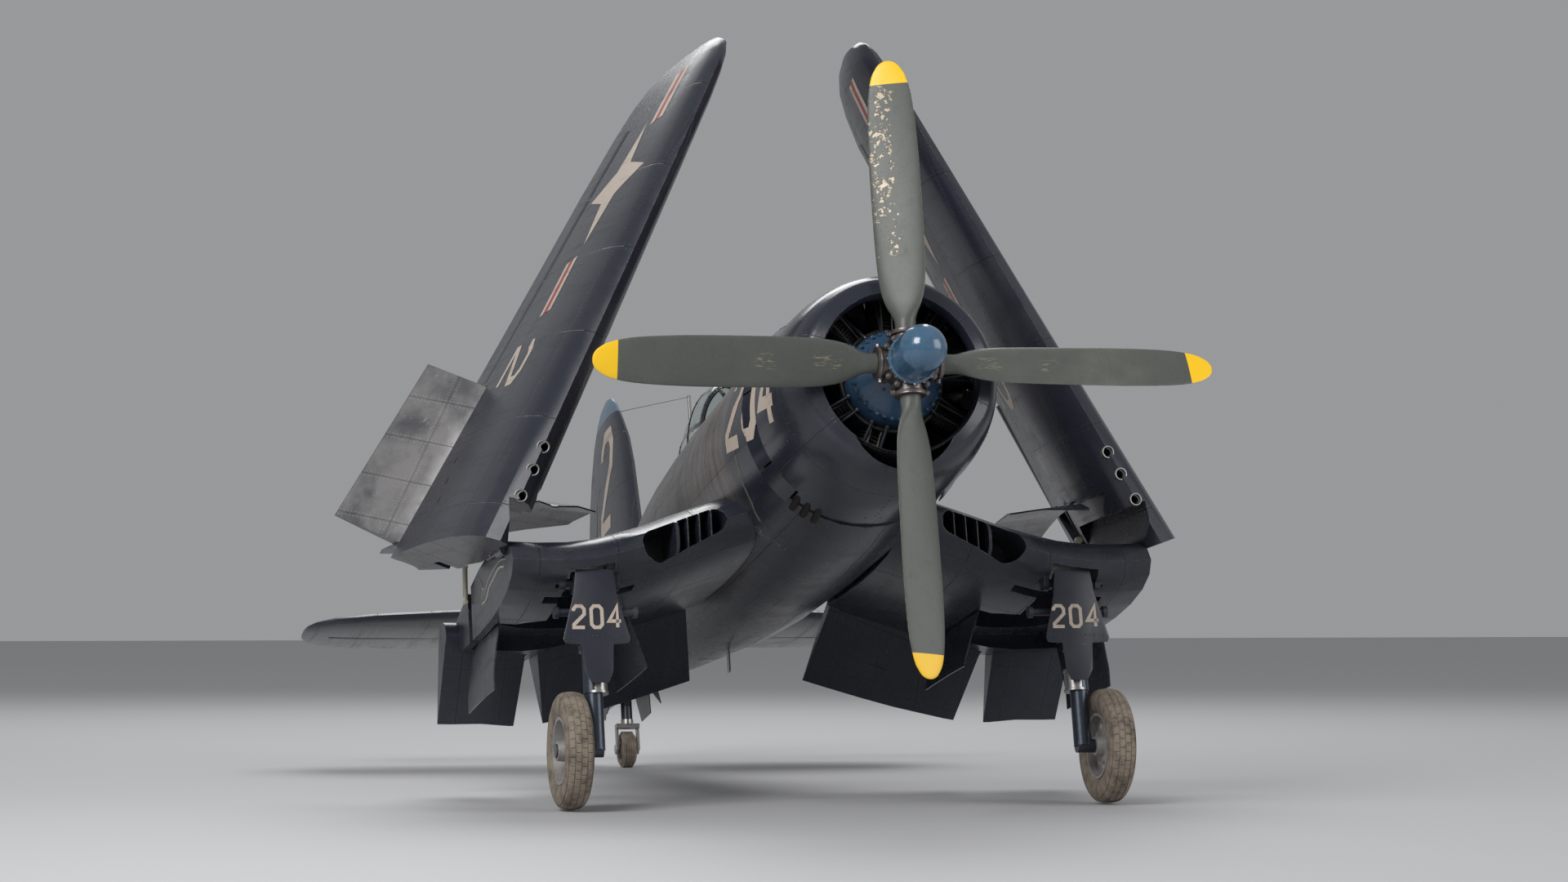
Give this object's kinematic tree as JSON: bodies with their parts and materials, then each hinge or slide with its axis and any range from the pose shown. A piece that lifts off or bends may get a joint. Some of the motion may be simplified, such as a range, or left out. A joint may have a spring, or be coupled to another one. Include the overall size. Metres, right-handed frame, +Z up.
{
  "type": "radio-controlled warbird plane",
  "caption": "Radio-controlled naval fighter with folding inverted-gull wings, radial nose, bladed propeller, hinged flaps and retracting tailwheel gear.",
  "frame": {"origin": "on the ground, under the middle of the standing model's bounding box", "axes": "+Z up, +X to the model's own port side, -Y towards the propeller"},
  "size_m": [1.19, 2.0147, 1.0463],
  "materials": {
    "navy_paint": "glossy dark sea blue, faded and worn in patches",
    "engine_blue": "glossy blue-grey",
    "engine_dark": "dark satin",
    "harness": "dull braided brass",
    "battery_wrap": "shrink wrap",
    "plywood": "plain birch plywood",
    "clear_glazing": "clear, slightly smoked",
    "cockpit_green": "matte green primer",
    "seat_leather": "worn brown",
    "black_wire": "dark",
    "hub_bronze": "oily bronze brown",
    "blade_grey": "chipped grey-green",
    "dome_blue": "gloss steel blue",
    "rubber_tyre": "dusty",
    "bright_steel": "polished",
    "strut_grey": "semi-gloss dark grey",
    "rim_alloy": "silver grey",
    "cream_metal": "cream",
    "worn_alloy": "paint worn to a metallic sheen"
  },
  "bodies": {
    "airframe": {"fuselage": "navy_paint", "nose_cowl": "navy_paint", "cowl_flaps": "navy_paint", "crankcase": "engine_blue", "engine_cylinders": "engine_dark", "ignition_harness": "harness", "drive_motor": "engine_dark", "battery_pack": "battery_wrap", "radio_tray": "plywood", "centre_wing_left": "navy_paint", "centre_wing_right": "navy_paint", "windshield": "navy_paint", "windshield_glass": "clear_glazing", "cockpit_tub": "cockpit_green", "pilot_seat": "seat_leather", "fin": "navy_paint", "stabilizer": "navy_paint", "antenna_rig": "black_wire", "tail_doors": "navy_paint", "tail_leg": "bright_steel"},
    "canopy": {"canopy_frame": "navy_paint", "canopy_glass": "clear_glazing"},
    "propeller": {"propeller_hub": "hub_bronze", "propeller_blades": "blade_grey", "propeller_dome": "dome_blue"},
    "tail_fork": {"tail_fork": "bright_steel"},
    "tail_wheel": {"tail_wheel": "rubber_tyre"},
    "rudder": {"rudder": "navy_paint"},
    "elevators": {"elevators": "navy_paint"},
    "arrestor_hook": {"arrestor_hook": "bright_steel"},
    "outer_wing_left": {"outer_wing_left": "navy_paint"},
    "aileron_left": {"aileron_left": "navy_paint"},
    "outer_flap_left": {"outer_flap_left": "navy_paint"},
    "mid_flap_left": {"mid_flap_left": "navy_paint"},
    "inboard_flap_left": {"inboard_flap_left": "navy_paint"},
    "fold_strut_left": {"fold_strut_left": "cream_metal"},
    "fold_door_left": {"fold_door_left": "navy_paint"},
    "strut_collar_left": {"strut_collar_left": "strut_grey"},
    "gear_piston_left": {"gear_piston_left": "bright_steel"},
    "wheel_door_outer_left": {"wheel_door_outer_left": "navy_paint"},
    "wheel_door_inner_left": {"wheel_door_inner_left": "navy_paint"},
    "gear_leg_left": {"gear_leg_left": "strut_grey", "gear_fairing_left": "navy_paint"},
    "main_wheel_left": {"main_tyre_left": "rubber_tyre", "main_rim_left": "rim_alloy"},
    "outer_wing_right": {"outer_wing_right": "navy_paint"},
    "aileron_right": {"aileron_right": "navy_paint"},
    "outer_flap_right": {"outer_flap_right": "worn_alloy"},
    "mid_flap_right": {"mid_flap_right": "navy_paint"},
    "inboard_flap_right": {"inboard_flap_right": "navy_paint"},
    "fold_strut_right": {"fold_strut_right": "cream_metal"},
    "fold_door_right": {"fold_door_right": "navy_paint"},
    "strut_collar_right": {"strut_collar_right": "strut_grey"},
    "gear_piston_right": {"gear_piston_right": "bright_steel"},
    "wheel_door_outer_right": {"wheel_door_outer_right": "navy_paint"},
    "wheel_door_inner_right": {"wheel_door_inner_right": "navy_paint"},
    "gear_leg_right": {"gear_leg_right": "strut_grey", "gear_fairing_right": "navy_paint"},
    "main_wheel_right": {"main_tyre_right": "rubber_tyre", "main_rim_right": "rim_alloy"}
  },
  "joints": [
    {"name": "propeller_spin", "type": "hinge", "parent": "airframe", "child": "propeller", "pos_m": [0, -0.91, 0.56582], "axis": [0, -0.9724, 0.2334], "continuous": true},
    {"name": "wing_fold_left", "type": "hinge", "parent": "airframe", "child": "outer_wing_left", "pos_m": [0.437, -0.55401, 0.33946], "axis": [0, 0.9936, -0.1132], "range_deg": [0, 109]},
    {"name": "fold_door_left", "type": "hinge", "parent": "outer_wing_left", "child": "fold_door_left", "pos_m": [0.38937, -0.36631, 0.40056], "axis": [-0.1152, -0.9907, 0.0729], "range_deg": [0, 109]},
    {"name": "fold_strut_left", "type": "hinge", "parent": "airframe", "child": "fold_strut_left", "pos_m": [0.442, -0.27077, 0.26837], "axis": [0, 0.9936, -0.1132], "range_deg": [0, 88]},
    {"name": "aileron_left", "type": "hinge", "parent": "outer_wing_left", "child": "aileron_left", "pos_m": [0.37463, -0.12929, 0.56857], "axis": [-0.4867, 0.0209, 0.8733], "range_deg": [-20, 20]},
    {"name": "inboard_flap_left", "type": "hinge", "parent": "airframe", "child": "inboard_flap_left", "pos_m": [0.112, -0.13458, 0.27585], "axis": [0.9521, -0.122, -0.2802], "range_deg": [0, 50]},
    {"name": "mid_flap_left", "type": "hinge", "parent": "airframe", "child": "mid_flap_left", "pos_m": [0.341, -0.16289, 0.2147], "axis": [0.9988, -0.0471, 0.0167], "range_deg": [0, 50]},
    {"name": "outer_flap_left", "type": "hinge", "parent": "outer_wing_left", "child": "outer_flap_left", "pos_m": [0.49945, -0.15419, 0.34109], "axis": [-0.4844, 0.0585, 0.8729], "range_deg": [0, 50]},
    {"name": "gear_retract_left", "type": "hinge", "parent": "airframe", "child": "gear_leg_left", "pos_m": [0.331, -0.55479, 0.29337], "axis": [1, 0, 0], "range_deg": [0, 90]},
    {"name": "wheel_twist_left", "type": "hinge", "parent": "gear_leg_left", "child": "strut_collar_left", "pos_m": [0.331, -0.58233, 0.17863], "axis": [0, 0.2334, 0.9724], "range_deg": [0, 90]},
    {"name": "oleo_left", "type": "slide", "parent": "strut_collar_left", "child": "gear_piston_left", "axis": [0, 0.2334, 0.9724], "range_m": [0, 0.018], "stiffness_N_per_m": 1500, "springref_m": -0.06},
    {"name": "main_wheel_spin_left", "type": "hinge", "parent": "gear_piston_left", "child": "main_wheel_left", "pos_m": [0.365, -0.60661, 0.0775], "axis": [1, 0, 0], "continuous": true},
    {"name": "wheel_door_outer_left", "type": "hinge", "parent": "airframe", "child": "wheel_door_outer_left", "pos_m": [0.422, -0.41009, 0.24067], "axis": [0, 0.9809, -0.1946], "range_deg": [0, 96]},
    {"name": "wheel_door_inner_left", "type": "hinge", "parent": "airframe", "child": "wheel_door_inner_left", "pos_m": [0.249, -0.40589, 0.25816], "axis": [0, -0.9809, 0.1944], "range_deg": [0, 96]},
    {"name": "wing_fold_right", "type": "hinge", "parent": "airframe", "child": "outer_wing_right", "pos_m": [-0.437, -0.55401, 0.33946], "axis": [0, -0.9936, 0.1132], "range_deg": [0, 109]},
    {"name": "fold_door_right", "type": "hinge", "parent": "outer_wing_right", "child": "fold_door_right", "pos_m": [-0.38937, -0.36631, 0.40056], "axis": [-0.1152, 0.9907, -0.0729], "range_deg": [0, 109]},
    {"name": "fold_strut_right", "type": "hinge", "parent": "airframe", "child": "fold_strut_right", "pos_m": [-0.442, -0.27077, 0.26837], "axis": [0, -0.9936, 0.1132], "range_deg": [0, 88]},
    {"name": "aileron_right", "type": "hinge", "parent": "outer_wing_right", "child": "aileron_right", "pos_m": [-0.37463, -0.12929, 0.56857], "axis": [0.4867, 0.0209, 0.8733], "range_deg": [-20, 20]},
    {"name": "inboard_flap_right", "type": "hinge", "parent": "airframe", "child": "inboard_flap_right", "pos_m": [-0.112, -0.13458, 0.27585], "axis": [0.9521, 0.122, 0.2802], "range_deg": [0, 50]},
    {"name": "mid_flap_right", "type": "hinge", "parent": "airframe", "child": "mid_flap_right", "pos_m": [-0.341, -0.16289, 0.2147], "axis": [0.9988, 0.0471, -0.0167], "range_deg": [0, 50]},
    {"name": "outer_flap_right", "type": "hinge", "parent": "outer_wing_right", "child": "outer_flap_right", "pos_m": [-0.49945, -0.15419, 0.34109], "axis": [-0.4844, -0.0585, -0.8729], "range_deg": [0, 50]},
    {"name": "gear_retract_right", "type": "hinge", "parent": "airframe", "child": "gear_leg_right", "pos_m": [-0.331, -0.55479, 0.29337], "axis": [1, 0, 0], "range_deg": [0, 90]},
    {"name": "wheel_twist_right", "type": "hinge", "parent": "gear_leg_right", "child": "strut_collar_right", "pos_m": [-0.331, -0.58233, 0.17863], "axis": [0, -0.2334, -0.9724], "range_deg": [0, 90]},
    {"name": "oleo_right", "type": "slide", "parent": "strut_collar_right", "child": "gear_piston_right", "axis": [0, 0.2334, 0.9724], "range_m": [0, 0.018], "stiffness_N_per_m": 1500, "springref_m": -0.06},
    {"name": "main_wheel_spin_right", "type": "hinge", "parent": "gear_piston_right", "child": "main_wheel_right", "pos_m": [-0.365, -0.60661, 0.0775], "axis": [1, 0, 0], "continuous": true},
    {"name": "wheel_door_outer_right", "type": "hinge", "parent": "airframe", "child": "wheel_door_outer_right", "pos_m": [-0.422, -0.41009, 0.24067], "axis": [0, -0.9809, 0.1946], "range_deg": [0, 96]},
    {"name": "wheel_door_inner_right", "type": "hinge", "parent": "airframe", "child": "wheel_door_inner_right", "pos_m": [-0.249, -0.40589, 0.25816], "axis": [0, 0.9809, -0.1944], "range_deg": [0, 96]},
    {"name": "canopy_slide", "type": "slide", "parent": "airframe", "child": "canopy", "axis": [0, 0.9724, -0.2334], "range_m": [0, 0.108]},
    {"name": "rudder_hinge", "type": "hinge", "parent": "airframe", "child": "rudder", "pos_m": [0, 0.86632, 0.10851], "axis": [0, 0.1355, 0.9908], "range_deg": [-24, 24]},
    {"name": "elevator_hinge", "type": "hinge", "parent": "airframe", "child": "elevators", "pos_m": [0, 0.84665, 0.21504], "axis": [1, 0, 0], "range_deg": [-16, 22]},
    {"name": "tail_fork_swivel", "type": "hinge", "parent": "airframe", "child": "tail_fork", "pos_m": [0, 0.71152, 0.08911], "axis": [0, 0.2334, 0.9724], "range_deg": [-30, 30]},
    {"name": "tail_wheel_spin", "type": "hinge", "parent": "tail_fork", "child": "tail_wheel", "pos_m": [0, 0.70943, 0.029], "axis": [1, 0, 0], "continuous": true},
    {"name": "hook_drop", "type": "hinge", "parent": "airframe", "child": "arrestor_hook", "pos_m": [0, 0.78145, 0.10626], "axis": [-1, 0, 0], "range_deg": [0, 36]}
  ],
  "couplings": [
    {"joint": "fold_door_left", "follows": "wing_fold_left", "ratio": 1},
    {"joint": "fold_strut_left", "follows": "wing_fold_left", "ratio": 0.80734},
    {"joint": "mid_flap_left", "follows": "inboard_flap_left", "ratio": 1},
    {"joint": "outer_flap_left", "follows": "inboard_flap_left", "ratio": 1},
    {"joint": "wheel_twist_left", "follows": "gear_retract_left", "ratio": 1},
    {"joint": "wheel_door_inner_left", "follows": "wheel_door_outer_left", "ratio": 1},
    {"joint": "fold_door_right", "follows": "wing_fold_right", "ratio": 1},
    {"joint": "fold_strut_right", "follows": "wing_fold_right", "ratio": 0.80734},
    {"joint": "inboard_flap_right", "follows": "inboard_flap_left", "ratio": 1},
    {"joint": "mid_flap_right", "follows": "inboard_flap_left", "ratio": 1},
    {"joint": "outer_flap_right", "follows": "inboard_flap_left", "ratio": 1},
    {"joint": "gear_retract_right", "follows": "gear_retract_left", "ratio": 1},
    {"joint": "wheel_twist_right", "follows": "gear_retract_left", "ratio": 1},
    {"joint": "wheel_door_outer_right", "follows": "wheel_door_outer_left", "ratio": 1},
    {"joint": "wheel_door_inner_right", "follows": "wheel_door_outer_left", "ratio": 1},
    {"joint": "aileron_right", "follows": "aileron_left", "ratio": 1}
  ]
}
